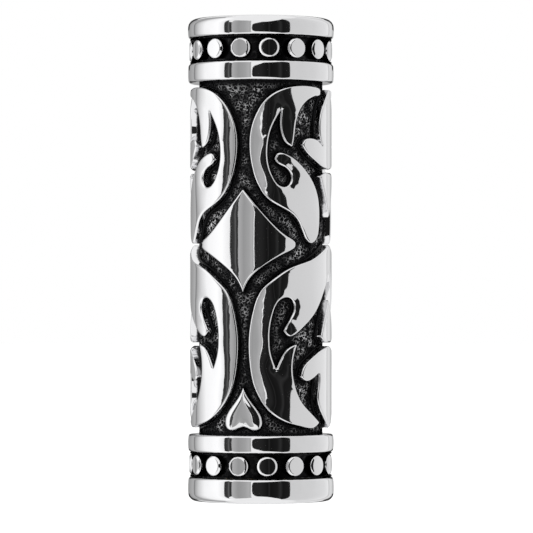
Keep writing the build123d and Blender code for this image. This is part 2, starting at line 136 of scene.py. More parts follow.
UPPER_DAGGER = [
    [(90, 53.3), (80, 53.2), (73, 52.5)],
    [(73, 52.5), (77.5, 50.2), (85, 46.8), (90, 44.3)],
]
LOWER_DAGGER = [
    [(90, 18.8), (80, 18.9), (74.2, 19.9)],
    [(74.2, 19.9), (78.5, 22.5), (84.5, 25.0), (90, 27.3)],
]
FOOT = [
    [(90, 18.0), (75, 17.2), (60, 15.4), (52, 13.6), (49.6, 11.8)],
    [(49.6, 11.8), (55, 11.0), (62, 11.4), (70.5, 12.6)],
    [(70.5, 12.6), (71.2, 11.5), (68.8, 7.6), (72, 5.3), (80, 3.1), (90, 1.3)],
]
FRONT_PIECES = (("diamond", DIAMOND), ("dart", DART))
SIDE_PIECES = (
    ("wing", LOWER_LEAF), ("crown", CROWN), ("dagger", UPPER_DAGGER), ("dagger", LOWER_DAGGER),
    ("foot", FOOT),
)
FRONT_AXIS = 0
SIDE_AXIS = 90

# These pieces fall towards their edges that face a seam this squarely, 1 being straight at it
PILLOWED = ("wing", "leaf")
FACING = 0.85

# The diamond's face falls to both sides of its fullest line: (degrees from the front, fall in mm)
DIAMOND_FALL = [
    (-47, 0.5), (-28, 0.49), (-18.5, 0.47), (-10.5, 0.39), (-3.5, 0.226), (8.5, 0.038),
    (17.5, 0), (34.5, 0.13), (47, 0.31),
]

# Studs of the dials: how many, and where the first stands, in degrees from +X
STUD_COUNT = 15
STUD_ROWS = (("lower", LOWER_DIAL, -93.8), ("upper", UPPER_DIAL, -92.2))
SCREW_ANGLES = (60, 180, 300)


def length(name, description, millimetres, smallest=0.0):
    """A size in millimetres, shown in the sidebar as a length."""
    return FloatProperty(
        name=name,
        description=description,
        default=millimetres * MM,
        min=smallest,
        precision=5,
        subtype="DISTANCE",
        unit="LENGTH",
    )


def colour(name, description, rgb):
    """A linear base colour."""
    return FloatVectorProperty(
        name=name, description=description, default=rgb, min=0, max=1, size=3, subtype="COLOR"
    )


def angle(name, description, degrees):
    """An angle given in degrees."""
    return FloatProperty(
        name=name, description=description, default=radians(degrees), subtype="ANGLE", unit="ROTATION"
    )


class VaultSizes(bpy.types.PropertyGroup):
    """Sizes of the visible surfaces that the frame doesn't give."""

    ground_radius: length("Ground radius", "Radius of the hammered ground behind the relief", 12.65)
    keyway_radius: length("Keyway radius", "Reach of the keyway that the lugs run in", 12.0)
    keyway_width: length("Keyway width", "Width of the keyway", 2.3)
    spine_bore: length("Spine bore", "Radius of the bore that fits over the spine", 10.63)
    rim_recess: length("Rim recess", "Radius of the recess under the top cap", 12.9)
    recess_depth: length("Recess depth", "Depth of the recess under the top cap", 1.5)
    cup_floor: length("Cup floor", "Thickness of the base cap's floor", 1.4)
    tube_bore: length("Tube bore", "Radius of the vault tube's bore", 7.6)
    tube_end: length("Tube end", "Thickness of the wall that closes the vault tube", 1.8)
    screw_circle: length("Screw circle", "Radius of the circle that the base screws stand on", 10.6)
    screw_head: length("Screw head", "Radius of a base screw's countersink", 1.5)
    screw_shank: length("Screw shank", "Radius of a base screw's hole", 0.81)
    shoulder_width: length("Shoulder width", "How far the rounding reaches in from a relief edge", 0.42)
    shoulder_drop: length("Shoulder drop", "How far the rounding falls at a relief edge", 0.34)
    pillow_width: length("Pillow width", "How far a relief face slopes in from its edge", 6.0)
    pillow_tilt: angle("Pillow tilt", "Slope at the edge of the leaves right of the front or back seam", 14)
    pillow_tilt_left: angle("Left pillow tilt", "Slope at the edge of the leaves left of the seam", 4)
    dart_width: length("Dart width", "How far the dart's rounding reaches in", 1.5)
    dart_drop: length("Dart drop", "How far the dart's rounding falls", 0.75)
    valley_drop: length("Valley drop", "Depth of the valley at the dart's foot", 0.3)
    foot_flare: length("Foot flare", "How far a relief wall spreads where it meets the ground", 0.25)
    foot_sink: length("Foot sink", "How far a relief wall stands into the ground", 0.03)
    outline_step: length("Outline step", "Spacing of the points along a relief edge", 0.3, 0.1 * MM)
    fill_step: length("Fill step", "Spacing of the points inside a relief piece", 0.6, 0.3 * MM)
    ground_step: length("Ground step", "Spacing of the points on the hammered ground", 0.31, 0.2 * MM)
    pit_size: length("Pit size", "Width of one hammered pit in the ground", 0.62)
    pit_depth: length("Pit depth", "Depth of one hammered pit in the ground", 0.08)
    dent_size: length("Dent size", "Width of one broad dent in the ground", 1.3)
    dent_depth: length("Dent depth", "Depth of one broad dent in the ground", 0.1)
    cap_round: length("Cap rounding", "Rounding at the closed ends of the cylinder", 1.5)
    band_round: length("Band rounding", "Rounding at the edges of the smooth bands", 0.5)
    band_crown: length("Band crown", "How far a band is fuller at its middle than at its edges", 0.2)
    lip_round: length("Lip rounding", "Rounding of inner edges that show when the vault is out", 0.2)
    dial_ground: length("Dial ground", "Radius of the dark drum that the studs stand on", 13.0)
    stud_radius: length("Stud radius", "Radius of one dial stud", 2.1)
    stud_face: length("Stud face radius", "Distance of the stud faces from the cylinder's axis", 14.65)
    stud_bevel: length("Stud bevel", "Width of the bright bevel around a stud", 0.42)
    facets: IntProperty(name="Facets", description="Faces around a turned piece", default=192, min=24)


class VaultFinish(bpy.types.PropertyGroup):
    """Colours and polish of the finishes."""

    steel: colour("Polished steel", "Base colour of the polished bands and relief", (0.83, 0.83, 0.84))
    patina: colour("Patina", "Colour of the blackened recesses", (0.012, 0.012, 0.013))
    rim: colour("Pit rims", "Colour of the rubbed rims between the pits", (0.7, 0.7, 0.71))
    brass: colour("Brass", "Base colour of the turned brass tubes", (0.72, 0.49, 0.2))
    polymer: colour("Polymer", "Colour of the low-friction washers", (0.78, 0.78, 0.74))
    rubber: colour("Elastomer", "Colour of the drag rings", (0.02, 0.02, 0.02))
    polish: FloatProperty(
        name="Polish", description="Roughness of polished steel", default=0.045, min=0, max=1
    )


class StudioSettings(bpy.types.PropertyGroup):
    """Camera place and light levels of the studio."""

    azimuth: angle("Camera azimuth", "Turn of the camera from the front, towards +X", 15.0)
    distance: length("Camera distance", "Distance of the camera from the cylinder's axis", 777)
    height: length("Camera height", "Height of the camera above the base", 38.8)
    aim_height: length("Aim height", "Height that the camera looks at", 47.96)
    aim_right: length("Aim right", "How far right of the axis the camera looks", 1.15)
    field: length("Field width", "Width that the camera sees at the cylinder", 109.33)
    card_radius: length("Card radius", "Distance of the light cards from the cylinder", 3000)
    floor_radius: length("Floor radius", "Radius of the round floor", 3600)


def smooth_run(points, step):
    """Points at even steps along a natural cubic curve through the given points."""
    knots = np.array(points, float)
    gaps = np.linalg.norm(np.diff(knots, axis=0), axis=1)
    at = np.concatenate([[0], np.cumsum(gaps)])
    count = len(knots)
    system = np.eye(count)
    target = np.zeros_like(knots)
    for i in range(1, count - 1):
        before, after = gaps[i - 1], gaps[i]
        system[i, i - 1:i + 2] = before, 2 * (before + after), after
        slope_in = (knots[i] - knots[i - 1]) / before
        slope_out = (knots[i + 1] - knots[i]) / after
        target[i] = 6 * (slope_out - slope_in)
    bend = np.linalg.solve(system, target)
    wanted = np.linspace(0, at[-1], max(3, round(at[-1] / step)) + 1)
    span = np.clip(np.searchsorted(at, wanted, side="right") - 1, 0, count - 2)
    gap = gaps[span][:, None]
    right = (wanted - at[span])[:, None] / gap
    left = 1 - right
    curve = left * knots[span] + right * knots[span + 1]
    curve += gap ** 2 / 6 * ((left ** 3 - left) * bend[span] + (right ** 3 - right) * bend[span + 1])
    return curve


def mirrored(runs, axis):
    """The same runs reflected about an axis, in the order that closes the outline."""
    return [[(2 * axis - u, h) for u, h in reversed(run)] for run in reversed(runs)]


def outline(runs, step):
    """Closed outline laid flat, in metres, running anticlockwise."""
    rise = RELIEF_H / DRAWN_H
    loops = []
    for run in runs:
        flat = [(u * PER_DEGREE, h * rise) for u, h in run]
        loops.append(smooth_run(flat, step)[:-1])
    loop = np.concatenate(loops)
    ahead = np.roll(loop, -1, axis=0)
    area = np.sum(loop[:, 0] * ahead[:, 1] - ahead[:, 0] * loop[:, 1])
    return loop if area > 0 else loop[::-1]


def inward_normals(loop):
    """Unit vectors pointing into an anticlockwise outline at each of its points."""
    along = np.roll(loop, -1, axis=0) - np.roll(loop, 1, axis=0)
    along /= np.linalg.norm(along, axis=1)[:, None]
    return np.stack([-along[:, 1], along[:, 0]], axis=1)


def edge_distance(points, loop, chosen=slice(None)):
    """Distance of each point from the outline, or from its chosen legs."""
    start = loop[chosen]
    leg = (np.roll(loop, -1, axis=0) - loop)[chosen]
    reach = np.sum(leg ** 2, axis=1)
    nearest = np.full(len(points), np.inf)
    for first in range(0, len(points), BLOCK):
        block = points[first:first + BLOCK]
        offset = block[:, None, :] - start[None]
        share = np.clip(np.sum(offset * leg[None], axis=2) / reach, 0, 1)
        gap = offset - share[..., None] * leg[None]
        nearest[first:first + BLOCK] = np.sqrt(np.sum(gap ** 2, axis=2).min(axis=1))
    return nearest


def inside(points, loop):
    """True for each point that the outline encloses."""
    ahead = np.roll(loop, -1, axis=0)
    x, y = points[:, 0][:, None], points[:, 1][:, None]
    crosses = (loop[:, 1] > y) != (ahead[:, 1] > y)
    rise = ahead[:, 1] - loop[:, 1]
    rise[rise == 0] = np.finfo(float).eps
    at = loop[:, 0] + (y - loop[:, 1]) * (ahead[:, 0] - loop[:, 0]) / rise
    return np.sum(crosses & (x < at), axis=1) % 2 == 1


def shoulder_turns():
    """Angles around the rounded shoulder, from the wall to the face."""
    return [radians(90 * step / SHOULDER_STEPS) for step in range(SHOULDER_STEPS + 1)]


def piece_points(loop, sizes, shoulder):
    """Points on the outline, on each line of its shoulder and over its face."""
    inward = inward_normals(loop)
    points = [loop]
    for turn in shoulder_turns()[1:]:
        reach = shoulder * (1 - cos(turn))
        ring = loop + inward * reach
        points.append(ring[edge_distance(ring, loop) > RING_SHARE * reach])
    low, high = loop.min(axis=0), loop.max(axis=0)
    step = sizes.fill_step
    across, up = np.arange(low[0], high[0], step), np.arange(low[1], high[1], step)
    grid = np.stack(np.meshgrid(across, up), -1).reshape(-1, 2)
    grid = grid[inside(grid, loop)]
    points.append(grid[edge_distance(grid, loop) > shoulder + step / 3])
    return np.concatenate(points)


def pillow(places, loop, sizes):
    """How far a leaf's face falls towards the edges that it turns to the front or the back."""
    middle = (loop + np.roll(loop, -1, axis=0)) / 2
    side = np.sign(np.round(middle[:, 0] / HALF_TURN) * HALF_TURN - middle[:, 0])
    outward = -inward_normals(loop)[:, 0] * side
    width = sizes.pillow_width
    fall = np.zeros(len(places))
    for seam_side, tilt in ((-1, sizes.pillow_tilt), (1, sizes.pillow_tilt_left)):
        chosen = (outward > FACING) & (side == seam_side)
        if chosen.any():
            gap = edge_distance(places, loop, chosen)
            fall += tan(tilt) * np.clip(width - gap, 0, None) ** 2 / (2 * width)
    return fall


def only(kind, items):
    """The vertices, edges or faces among mixed mesh items."""
    return [item for item in items if isinstance(item, getattr(bmesh.types, kind))]


def raise_piece(bm, loop, sizes, shoulder, drop, shape):
    """Adds one closed raised piece, laid flat: x along the turn, y up the cylinder, z from its axis."""
    count = len(loop)
    rim = [(i, (i + 1) % count) for i in range(count)]
    points = piece_points(loop, sizes, shoulder)
    flat, _, triangles, _, _, _ = delaunay_2d_cdt([Vector(p) for p in points], rim, [], 1, MERGE)
    places = np.array([tuple(p) for p in flat])
    gap = edge_distance(places, loop)
    reach = np.clip(gap / shoulder, 0, 1)
    fall = drop * (1 - np.sqrt(1 - (1 - reach) ** 2)) + shape(places)
    verts = [bm.verts.new((x, y, RELIEF_R - depth)) for (x, y), depth in zip(places, fall)]
    top = [bm.faces.new([verts[i] for i in triangle]) for triangle in triangles]
    bmesh.ops.recalc_face_normals(bm, faces=top)
    if sum(face.normal.z for face in top) < 0:
        bmesh.ops.reverse_faces(bm, faces=top)
    within = [vert for vert, far in zip(verts, gap > SMOOTHED_FROM * shoulder) if far]
    for _ in range(SMOOTHINGS):
        bmesh.ops.smooth_vert(bm, verts=within, factor=0.5, use_axis_z=True)
    copied = bmesh.ops.duplicate(bm, geom=top)["geom"]
    bmesh.ops.reverse_faces(bm, faces=only("BMFace", copied))
    floor = only("BMVert", copied)
    foot = drop_walls(bm, top, loop, sizes)
    sunk = sizes.ground_radius - sizes.foot_sink
    spread_ring([vert for vert in floor if vert.is_boundary], loop, 0, sizes.foot_flare, sunk)
    for vert in floor:
        vert.co.z = sunk
    bmesh.ops.remove_doubles(bm, verts=floor + foot, dist=MERGE)


def drop_walls(bm, top, loop, sizes):
    """Extrudes the rim of a raised piece down to the ground, spreading a little at its foot."""
    edges = [edge for face in top for edge in face.edges if edge.is_boundary]
    flare, ground = sizes.foot_flare, sizes.ground_radius
    steps = (
        (0.0, ground + 1.6 * flare), (0.3 * flare, ground + 0.5 * flare),
        (flare, ground - sizes.foot_sink),
    )
    before = 0.0
    for spread, level in steps:
        grown = bmesh.ops.extrude_edge_only(bm, edges=edges)["geom"]
        ring = only("BMVert", grown)
        edges = [edge for edge in only("BMEdge", grown) if edge.is_boundary]
        spread_ring(ring, loop, before, spread, level)
        before = spread
    return ring


def spread_ring(ring, loop, before, spread, level):
    """Moves vertices that stand around the outline from one spread to the next and sets their level."""
    outward = -inward_normals(loop)
    tree = KDTree(len(loop))
    for index, (x, y) in enumerate(loop + outward * before):
        tree.insert((x, y, 0), index)
    tree.balance()
    for vert in ring:
        index = tree.find((vert.co.x, vert.co.y, 0))[1]
        vert.co = (*(loop[index] + outward[index] * spread), level)


def wrap(bm):
    """Rolls flat work onto the cylinder: x becomes the turn from the front, z the radius."""
    for vert in bm.verts:
        turn = vert.co.x / RELIEF_R - pi / 2
        radius = vert.co.z
        vert.co = Vector((radius * cos(turn), radius * sin(turn), RELIEF_FOOT + vert.co.y))


def linked(name, bm, material):
    """Turns finished work into an object of the scene."""
    mesh = bpy.data.meshes.new(name)
    bm.to_mesh(mesh)
    bm.free()
    mesh.materials.append(material)
    piece = bpy.data.objects.new(name, mesh)
    bpy.context.scene.collection.objects.link(piece)
    return piece


def place(name, bm, body, material, replaced=(), sharp=35):
    """Turns finished work into a piece that rides on a body and stands for the given nodes."""
    piece = linked(name, bm, material)
    piece.data.shade_smooth()
    piece.data.set_sharp_from_angle(angle=radians(sharp))
    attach(piece, body)
    if replaced:
        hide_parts(*replaced)
    return piece


def held_profile(profile, rounds):
    """The closed profile with a point set just beyond the end of every rounded corner."""
    points, corners = [], []
    count = len(profile)
    for index, (here, rounding) in enumerate(zip(profile, rounds)):
        here = Vector(here)
        before = Vector(profile[index - 1])
        after = Vector(profile[(index + 1) % count])
        if rounding:
            points.append(here + (before - here).normalized() * (rounding + HOLD))
            corners.append((len(points), rounding))
            points.append(here)
            points.append(here + (after - here).normalized() * (rounding + HOLD))
        else:
            points.append(here)
    return points, corners


def round_corner(bm, vert, rounding, segments):
    """Rounds one corner of a wire with an arc."""
    bmesh.ops.bevel(
        bm, geom=[vert], offset=rounding, offset_type="ABSOLUTE", segments=segments,
        profile=0.5, affect="VERTICES", material=-1,
    )


def spin_round(bm, facets):
    """Spins a wire a full turn about Z and closes its seam and poles."""
    bmesh.ops.spin(
        bm, geom=bm.verts[:] + bm.edges[:], cent=(0, 0, 0), axis=(0, 0, 1),
        dvec=(0, 0, 0), angle=2 * pi, steps=facets, use_merge=True,
    )
    bmesh.ops.remove_doubles(bm, verts=bm.verts, dist=MERGE)
    bmesh.ops.recalc_face_normals(bm, faces=bm.faces)


def rounded_profile(bm, profile, rounds):
    """Wire of a closed (radius, level) profile with its corners rounded."""
    points, corners = held_profile(profile, rounds)
    verts = [bm.verts.new((radius, 0, level)) for radius, level in points]
    for first, second in zip(verts, verts[1:] + verts[:1]):
        if first.co.xy.length > 0 or second.co.xy.length > 0:
            bm.edges.new((first, second))
    for index, rounding in corners:
        round_corner(bm, verts[index], rounding, CORNER_STEPS)


def turned(bm, profile, rounds, facets):
    """Adds a full body of revolution about Z from a closed (radius, level) profile."""
    wire = bmesh.new()
    rounded_profile(wire, profile, rounds)
    spin_round(wire, facets)
    join(bm, wire)


def ring_wall(bm, profile, gap, facets):
    """Adds a ring from a closed (radius, level) profile, left open by a gap that faces +X."""
    wall = bmesh.new()
    verts = [wall.verts.new((radius * cos(gap), radius * sin(gap), level)) for radius, level in profile]
    face = wall.faces.new(verts)
    bmesh.ops.spin(
        wall, geom=[face] + face.edges[:] + verts, cent=(0, 0, 0), axis=(0, 0, 1),
        dvec=(0, 0, 0), angle=2 * pi - 2 * gap, steps=facets,
    )
    bmesh.ops.recalc_face_normals(wall, faces=wall.faces)
    join(bm, wall)


def join(bm, other):
    """Adds the other work to this one and frees it."""
    mesh = bpy.data.meshes.new("joining")
    other.to_mesh(mesh)
    other.free()
    bm.from_mesh(mesh)
    bpy.data.meshes.remove(mesh)


def box_profile(inner, outer, low, high):
    """Corners of a ring's cross-section, from its outer foot round to its inner foot."""
    return [(outer, low), (outer, high), (inner, high), (inner, low)]


def crowned(low, high, low_round, high_round, sizes):
    """Outer face of a band, fullest at its middle: three profile points and their roundings."""
    flat = high - low - low_round - high_round
    edge = BAND_R - sizes.band_crown
    points = [(edge, low), (BAND_R, low + low_round + flat / 2), (edge, high)]
    return points, [low_round, flat / 2 - 3 * HOLD, high_round]


def keyed_bore(bm, low, high, sizes):
    """Adds the inner ring that fits over the spine, with the keyway open in it."""
    profile = box_profile(sizes.spine_bore, sizes.keyway_radius, low, high)
    gap = KEYWAY_EASE * sizes.keyway_width / 2 / sizes.spine_bore
    ring_wall(bm, profile, gap, sizes.facets // 2)


def keyed_band(bm, low, high, sizes):
    """Adds a smooth band with the keyway open in its bore."""
    points, rounds = crowned(low, high, sizes.band_round, sizes.band_round, sizes)
    inner = [(sizes.keyway_radius, high), (sizes.keyway_radius, low)]
    turned(bm, points + inner, rounds + [0, 0], sizes.facets)
    keyed_bore(bm, low, high, sizes)


class Nodes:
    """Adds shader nodes to one material or world and links them in a line of code each."""

    def __init__(self, name, kind="Material"):
        library = bpy.data.worlds if kind == "World" else bpy.data.materials
        self.owner = library.new(name)
        self.owner.use_nodes = True
        self.tree = self.owner.node_tree
        self.tree.nodes.clear()
        self.output = self.add("Output" + kind)

    def add(self, kind, **settings):
        """New node, with its properties set."""
        node = self.tree.nodes.new("ShaderNode" + kind)
        for name, value in settings.items():
            setattr(node, name, value)
        return node

    def link(self, source, target):
        """Joins an output socket to an input socket."""
        self.tree.links.new(source, target)

    def feed(self, value, socket):
        """Gives an input socket a link, a number or a colour of three numbers."""
        if isinstance(value, bpy.types.NodeSocket):
            self.link(value, socket)
        elif isinstance(value, (int, float)):
            socket.default_value = value
        else:
            socket.default_value = (*value, 1)

    def math(self, operation, first, second=0.0):
        """Arithmetic on sockets or numbers."""
        node = self.add("Math", operation=operation)
        for socket, value in zip(node.inputs, (first, second)):
            self.feed(value, socket)
        return node.outputs[0]

    def ramp(self, source, low, high, from_value=0.0, to_value=1.0, smooth=True):
        """Moves from one value to another while the source goes from low to high."""
        node = self.add("MapRange", interpolation_type="SMOOTHSTEP" if smooth else "LINEAR")
        self.link(source, node.inputs["Value"])
        node.inputs["From Min"].default_value = low
        node.inputs["From Max"].default_value = high
        node.inputs["To Min"].default_value = from_value
        node.inputs["To Max"].default_value = to_value
        return node.outputs[0]

    def blend(self, share, first, second):
        """Mixes two colours, each a socket or three numbers."""
        node = self.add("Mix", data_type="RGBA")
        self.link(share, node.inputs["Factor"])
        self.feed(first, node.inputs[6])
        self.feed(second, node.inputs[7])
        return node.outputs[2]

    def seen_rays(self):
        """1 for a ray that the camera, a reflection or a transmission sees, 0 for any other."""
        path = self.add("LightPath")
        seen = self.math("MAXIMUM", path.outputs["Is Camera Ray"], path.outputs["Is Glossy Ray"])
        return self.math("MAXIMUM", seen, path.outputs["Is Transmission Ray"])

    def place(self):
        """Object coordinates."""
        return self.add("TexCoord").outputs["Object"]

    def radius(self):
        """Distance from the cylinder's axis."""
        parts = self.add("SeparateXYZ")
        self.link(self.place(), parts.inputs[0])
        east = self.math("MULTIPLY", parts.outputs[0], parts.outputs[0])
        north = self.math("MULTIPLY", parts.outputs[1], parts.outputs[1])
        return self.math("SQRT", self.math("ADD", east, north))

    def noise(self, size, detail=3.0, stretch=None, colour=False):
        """Cloudy pattern of the given feature size in metres."""
        pattern = self.add("TexNoise")
        pattern.inputs["Scale"].default_value = 1 / size
        pattern.inputs["Detail"].default_value = detail
        source = self.place()
        if stretch:
            mapping = self.add("Mapping")
            mapping.inputs["Scale"].default_value = stretch
            self.link(source, mapping.inputs["Vector"])
            source = mapping.outputs[0]
        self.link(source, pattern.inputs["Vector"])
        return pattern.outputs["Color" if colour else "Fac"]

    def cells(self, size, feature, wander, reach):
        """Distance pattern of random cells of the given size in metres, their borders made to wander."""
        pattern = self.add("TexVoronoi", feature=feature)
        pattern.inputs["Scale"].default_value = 1 / size
        moved = self.add("VectorMath", operation="MULTIPLY_ADD")
        self.link(wander, moved.inputs[0])
        moved.inputs[1].default_value = (reach * size, reach * size, reach * size)
        self.link(self.place(), moved.inputs[2])
        self.link(moved.outputs[0], pattern.inputs["Vector"])
        return pattern.outputs["Distance"]

    def bump(self, height, depth, strength=1.0):
        """Normal that follows a height pattern, full depth in metres."""
        node = self.add("Bump")
        node.inputs["Strength"].default_value = strength
        node.inputs["Distance"].default_value = depth
        self.link(height, node.inputs["Height"])
        return node.outputs[0]

    def surface(self, rgb, roughness, metallic=1.0, normal=None, grazing=1.0):
        """Principled surface; colour and roughness may be sockets. Grazing is the metal's edge tint."""
        shader = self.add("BsdfPrincipled")
        shader.inputs["Metallic"].default_value = metallic
        shader.inputs["Specular Tint"].default_value = (grazing, grazing, grazing, 1)
        self.feed(rgb, shader.inputs["Base Color"])
        self.feed(roughness, shader.inputs["Roughness"])
        if normal:
            self.link(normal, shader.inputs["Normal"])
        self.link(shader.outputs[0], self.output.inputs["Surface"])
        return self.owner


def polished_steel(name, finish):
    """Mirror-polished steel with faint casting waves."""
    nodes = Nodes(name)
    smear = nodes.noise(2.2 * MM)
    roughness = nodes.ramp(smear, 0.3, 0.7, finish.polish * 0.7, finish.polish * 1.4)
    tone = nodes.ramp(smear, 0.2, 0.8)
    rgb = nodes.blend(tone, tuple(finish.steel), tuple(0.97 * c for c in finish.steel))
    normal = nodes.bump(nodes.noise(6 * MM, detail=1.0), 0.012 * MM)
    return nodes.surface(rgb, roughness, normal=normal)


def relief_steel(name, finish, dark_below, bright_above):
    """Polished steel that is blackened towards the foot of what it covers."""
    nodes = Nodes(name)
    smear = nodes.noise(2.2 * MM)
    ragged = nodes.ramp(nodes.noise(0.6 * MM), 0.0, 1.0, -0.25 * MM, 0.25 * MM, smooth=False)
    level = nodes.math("ADD", nodes.radius(), ragged)
    clean = nodes.ramp(level, dark_below, bright_above)
    rgb = nodes.blend(clean, tuple(finish.patina), tuple(finish.steel))
    polish = nodes.ramp(smear, 0.3, 0.7, finish.polish * 0.7, finish.polish * 1.4)
    dull = nodes.ramp(level, dark_below, bright_above, 0.3, 0.0)
    normal = nodes.bump(nodes.noise(4 * MM, detail=1.0), 0.02 * MM)
    return nodes.surface(rgb, nodes.math("ADD", polish, dull), normal=normal)


def hammered_patina(name, finish, sizes):
    """Blackened ground, pitted all over, with rubbed metal rims where a cloth reaches it."""
    nodes = Nodes(name)
    wander = nodes.noise(0.5 * MM, colour=True)
    pits = nodes.cells(sizes.pit_size, "DISTANCE_TO_EDGE", wander, 0.22)
    reach = nodes.add("Attribute", attribute_name="reach").outputs["Fac"]
    patch = nodes.ramp(nodes.noise(2.2 * MM, detail=2.0), 0.38, 0.58, 0.1, 1.0)
    broken = nodes.ramp(nodes.noise(0.5 * MM), 0.4, 0.54)
    rubbed = nodes.math("MULTIPLY", nodes.ramp(pits, 0.15, 0.04), nodes.math("MULTIPLY", broken, patch))
    rubbed = nodes.math("MULTIPLY", rubbed, reach)
    rgb = nodes.blend(rubbed, tuple(finish.patina), tuple(finish.rim))
    grain = nodes.math("MULTIPLY", nodes.noise(0.25 * MM), 0.2)
    height = nodes.math("ADD", nodes.ramp(pits, 0.34, 0.02), grain)
    roughness = nodes.ramp(rubbed, 0.0, 1.0, 0.42, 0.36)
    return nodes.surface(rgb, roughness, normal=nodes.bump(height, sizes.pit_depth), grazing=0.12)


def blackened_steel(name, finish):
    """Dark oxidised steel, a little worn."""
    nodes = Nodes(name)
    worn = nodes.ramp(nodes.noise(1.1 * MM), 0.5, 0.8)
    rgb = nodes.blend(worn, tuple(finish.patina), tuple(0.07 * c for c in finish.steel))
    roughness = nodes.ramp(nodes.noise(0.5 * MM), 0.3, 0.7, 0.2, 0.38)
    return nodes.surface(rgb, roughness, normal=nodes.bump(nodes.noise(0.3 * MM), 0.01 * MM), grazing=0.05)


def turned_metal(name, rgb, polish, pitch):
    """Lathe-turned metal: fine rings around the axis and a cloudy tone."""
    nodes = Nodes(name)
    rings = nodes.noise(pitch, detail=2.0, stretch=(0.04, 0.04, 1.0))
    tone = nodes.ramp(nodes.noise(4 * MM), 0.3, 0.7)
    mixed = nodes.blend(tone, tuple(rgb), tuple(0.88 * c for c in rgb))
    roughness = nodes.ramp(rings, 0.3, 0.7, polish * 0.75, polish * 1.4)
    return nodes.surface(mixed, roughness, normal=nodes.bump(rings, 0.004 * MM))


def soft_plastic(name, rgb, roughness):
    """Moulded plastic or rubber with a fine matte grain."""
    nodes = Nodes(name)
    tone = nodes.ramp(nodes.noise(0.8 * MM), 0.3, 0.7)
    mixed = nodes.blend(tone, tuple(rgb), tuple(0.85 * c for c in rgb))
    grain = nodes.bump(nodes.noise(0.15 * MM), 0.006 * MM)
    return nodes.surface(mixed, roughness, metallic=0.0, normal=grain)


def motif_loops(step):
    """Every relief outline, as (motif name, flat closed outline)."""
    drawn = [(name, runs + mirrored(runs, FRONT_AXIS)) for name, runs in FRONT_PIECES]
    drawn += [(name, runs + mirrored(runs, SIDE_AXIS)) for name, runs in SIDE_PIECES]
    drawn += [("leaf", UPPER_LEAF), ("leaf", mirrored(UPPER_LEAF, FRONT_AXIS))]
    return [(name, outline(runs, step) + (turn, 0)) for name, runs in drawn for turn in (0, HALF_TURN)]


def dent_ground(bm, sizes):
    """Sinks broad shallow dents into the outside of the ground."""
    for vert in bm.verts:
        edge = min(vert.co.z - RELIEF_FOOT, RELIEF_FOOT + RELIEF_H - vert.co.z)
        if vert.co.xy.length > sizes.ground_radius - MM / 10 and edge > MM / 10:
            nearest = noise.voronoi(vert.co / sizes.dent_size)[0][0]
            depth = sizes.dent_depth * max(0.0, 1 - 2 * nearest ** 2)
            vert.co.xy *= 1 - depth / sizes.ground_radius


def mark_reach(mesh, sizes):
    """Stores how freely a polishing cloth reaches each point of the ground, from 0 at a wall to 1."""
    walls = []
    for _, loop in motif_loops(2 * sizes.outline_step):
        for x, y in loop:
            turn = x / RELIEF_R - pi / 2
            walls.append((sizes.ground_radius * cos(turn), sizes.ground_radius * sin(turn), RELIEF_FOOT + y))
    tree = KDTree(len(walls))
    for index, point in enumerate(walls):
        tree.insert(point, index)
    tree.balance()
    reach = mesh.attributes.new("reach", "FLOAT", "POINT")
    for vert, value in zip(mesh.vertices, reach.data):
        gap = min(tree.find(vert.co)[2], vert.co.z - RELIEF_FOOT, RELIEF_FOOT + RELIEF_H - vert.co.z)
        value.value = min(1.0, max(0.0, (gap - CLOTH_GAP) / CLOTH_FADE))


class VAULT_OT_relief_ground(bpy.types.Operator):
    """Turn the hammered tube that the relief stands on"""

    bl_idname = "vault.relief_ground"
    bl_label = "Relief Ground"

    def execute(self, context):
        sizes = context.scene.vault_sizes
        low, high = RELIEF_FOOT, RELIEF_FOOT + RELIEF_H
        bm = bmesh.new()
        facets = round(2 * pi * sizes.ground_radius / sizes.ground_step)
        turned(bm, box_profile(sizes.keyway_radius, sizes.ground_radius, low, high), (0, 0, 0, 0), facets)
        outer = [
            edge for edge in bm.edges
            if abs(edge.verts[0].co.z - edge.verts[1].co.z) > RELIEF_H / 2
            and edge.verts[0].co.xy.length > (sizes.keyway_radius + sizes.ground_radius) / 2
        ]
        cuts = round(RELIEF_H / sizes.ground_step)
        bmesh.ops.subdivide_edges(bm, edges=outer, cuts=cuts, use_grid_fill=True)
        dent_ground(bm, sizes)
        keyed_bore(bm, low, high, sizes)
        material = hammered_patina("hammered_patina", context.scene.vault_finish, sizes)
        piece = place("relief_ground", bm, "barrel", material, ("relief_sleeve",))
        mark_reach(piece.data, sizes)
        return {"FINISHED"}


class VAULT_OT_relief_motifs(bpy.types.Operator):
    """Raise the polished motifs of the relief"""

    bl_idname = "vault.relief_motifs"
    bl_label = "Relief Motifs"

    def execute(self, context):
        sizes = context.scene.vault_sizes
        finish = context.scene.vault_finish
        material = relief_steel("relief_steel", finish, 12.95 * MM, 13.4 * MM)
        works = {}
        for name, loop in motif_loops(sizes.outline_step):
            shift = round(loop[:, 0].mean() / HALF_TURN) * HALF_TURN
            width, drop = sizes.shoulder_width, sizes.shoulder_drop
            shape = level_face
            if name in PILLOWED:
                shape = partial(pillow, loop=loop, sizes=sizes)
            elif name == "diamond":
                shape = partial(diamond_fall, shift=shift)
            elif name == "dart":
                width, drop = sizes.dart_width, sizes.dart_drop
                shape = partial(dart_valley, shift=shift, sizes=sizes)
            if name not in works:
                works[name] = bmesh.new()
            raise_piece(works[name], loop, sizes, width, drop, shape)
        for name, bm in works.items():
            wrap(bm)
            place("relief_" + name, bm, "barrel", material, sharp=50)
        return {"FINISHED"}


def level_face(places):
    """No fall: the face keeps the cylinder's radius."""
    return np.zeros(len(places))


